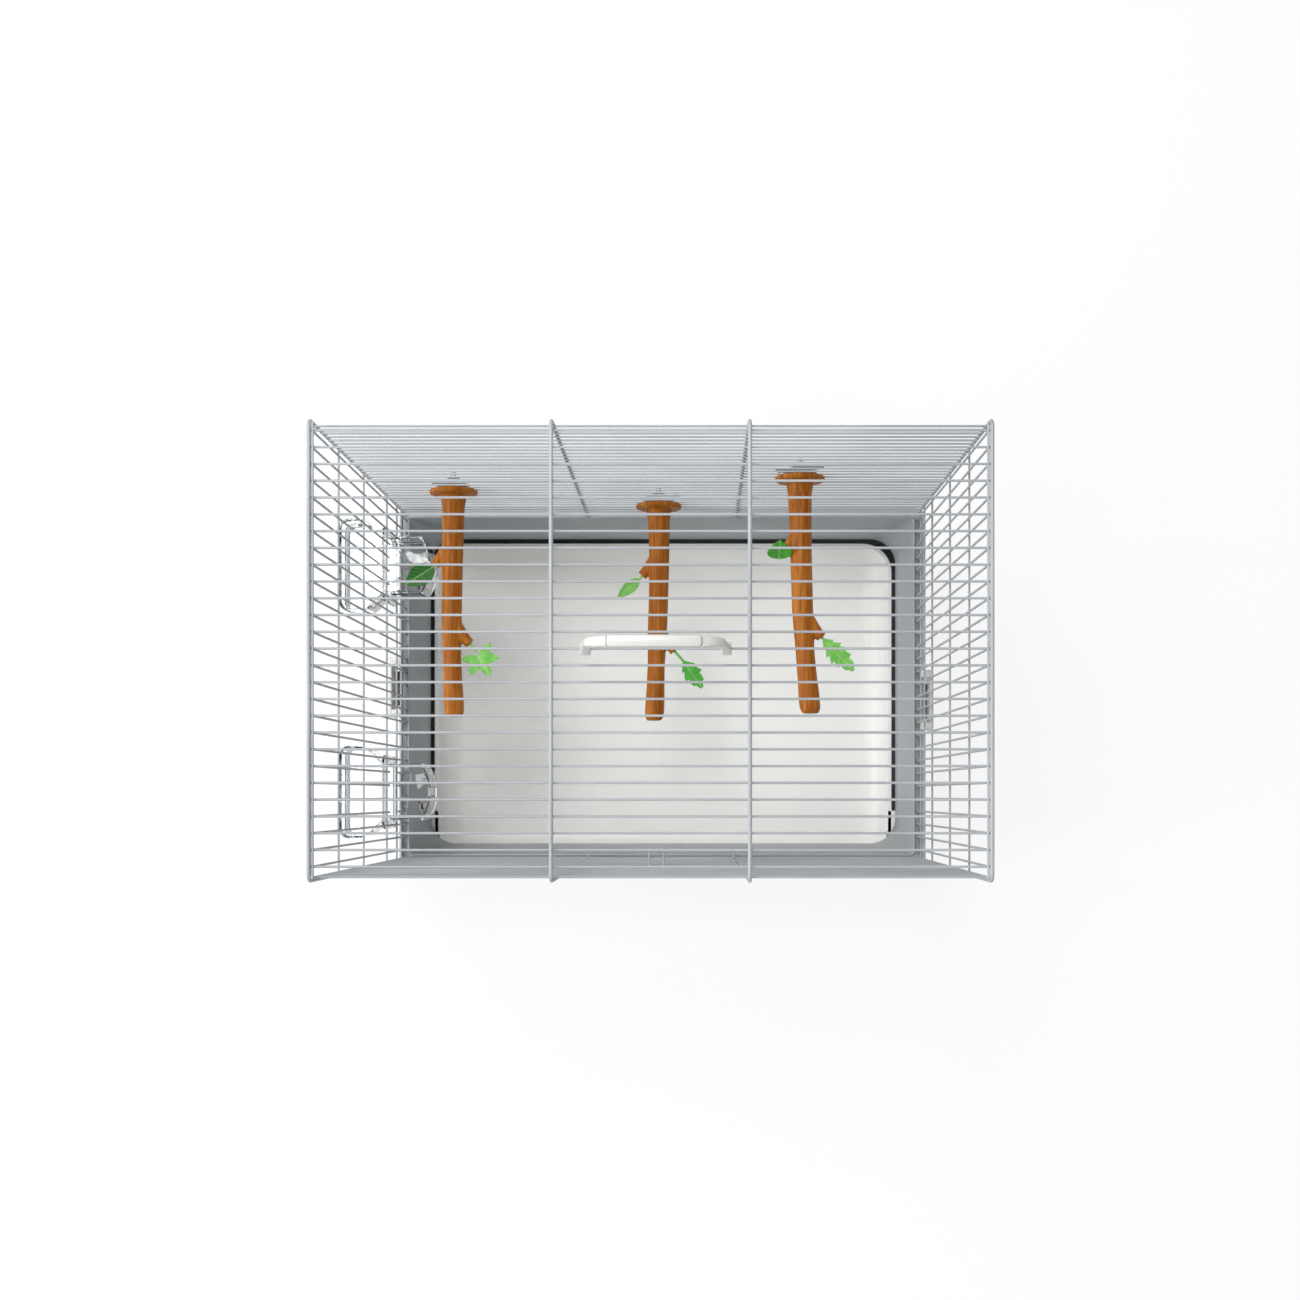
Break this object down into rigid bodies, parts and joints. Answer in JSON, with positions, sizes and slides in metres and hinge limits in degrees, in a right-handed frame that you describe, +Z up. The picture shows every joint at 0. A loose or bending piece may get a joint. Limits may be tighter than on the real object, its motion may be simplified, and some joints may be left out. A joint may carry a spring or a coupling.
{
  "type": "bird carrier",
  "caption": "Welded wire bird carrier with a front door, carrying handle, branch perches, clear feeder cups, side latches and a grey base with a pull-out tray",
  "frame": {"origin": "centre of the underside of the base", "axes": "+X is the right end seen from the front, +Y is the back wall with the perches, +Z is up; the door and the tray open toward -Y"},
  "size_m": [0.5434, 0.3523, 0.572],
  "materials": {
    "painted_wire": "satin",
    "grey_plastic": "gloss",
    "white_tray_plastic": "gloss",
    "brown_plastic": "satin",
    "dark_leaf_plastic": "satin",
    "light_leaf_plastic": "satin",
    "black_plastic": "satin",
    "white_plastic": "gloss",
    "clear_plastic": "clear gloss",
    "bare_steel": "brushed"
  },
  "bodies": {
    "cage": {"roof_wires": "painted_wire", "roof_edge_wires": "painted_wire", "back_wall_wires": "painted_wire", "front_wall_wires": "painted_wire", "left_wall_cross_wires": "painted_wire", "left_wall_upright_wires": "painted_wire", "right_wall_cross_wires": "painted_wire", "right_wall_upright_wires": "painted_wire", "left_end_hoop": "painted_wire", "left_middle_hoop": "painted_wire", "right_middle_hoop": "painted_wire", "right_end_hoop": "painted_wire", "door_hinge_wire": "painted_wire", "base_tub": "grey_plastic", "guard_frame": "grey_plastic", "left_perch": "brown_plastic", "middle_perch": "brown_plastic", "right_perch": "brown_plastic", "perch_studs": "bare_steel", "perch_washers": "black_plastic", "perch_wing_nuts": "black_plastic", "left_perch_oval_leaf": "dark_leaf_plastic", "left_perch_lobed_leaf": "light_leaf_plastic", "middle_perch_oval_leaf": "light_leaf_plastic", "middle_perch_toothed_leaf": "dark_leaf_plastic", "right_perch_upright_leaf": "dark_leaf_plastic", "right_perch_toothed_leaf": "light_leaf_plastic", "latch_pins": "bare_steel"},
    "door": {"door_frame": "painted_wire", "door_wires": "painted_wire", "door_catch": "painted_wire"},
    "tray": {"pull_out_tray": "white_tray_plastic"},
    "handle": {"carry_handle": "white_plastic"},
    "rear_feeder": {"rear_feeder_cup": "clear_plastic"},
    "front_feeder": {"front_feeder_cup": "clear_plastic"},
    "left_side_latch": {"left_latch": "white_plastic"},
    "right_side_latch": {"right_latch": "white_plastic"}
  },
  "joints": [
    {"name": "door_hinge", "type": "hinge", "parent": "cage", "child": "door", "pos_m": [0, -0.1622, 0.165], "axis": [1, 0, 0], "range_deg": [0, 150]},
    {"name": "tray_slide", "type": "slide", "parent": "cage", "child": "tray", "axis": [0, -1, 0], "range_m": [0, 0.28]},
    {"name": "handle_swing", "type": "hinge", "parent": "cage", "child": "handle", "pos_m": [0, 0.0014, 0.51], "axis": [1, 0, 0], "range_deg": [-70, 70]},
    {"name": "rear_feeder_slide", "type": "slide", "parent": "cage", "child": "rear_feeder", "axis": [-1, 0, 0], "range_m": [0, 0.06]},
    {"name": "front_feeder_slide", "type": "slide", "parent": "cage", "child": "front_feeder", "axis": [-1, 0, 0], "range_m": [0, 0.06]},
    {"name": "left_latch_turn", "type": "hinge", "parent": "cage", "child": "left_side_latch", "pos_m": [-0.2522, 0, 0.108], "axis": [0, -1, 0], "range_deg": [0, 100]},
    {"name": "right_latch_turn", "type": "hinge", "parent": "cage", "child": "right_side_latch", "pos_m": [0.2522, 0, 0.108], "axis": [0, 1, 0], "range_deg": [0, 100]}
  ]
}
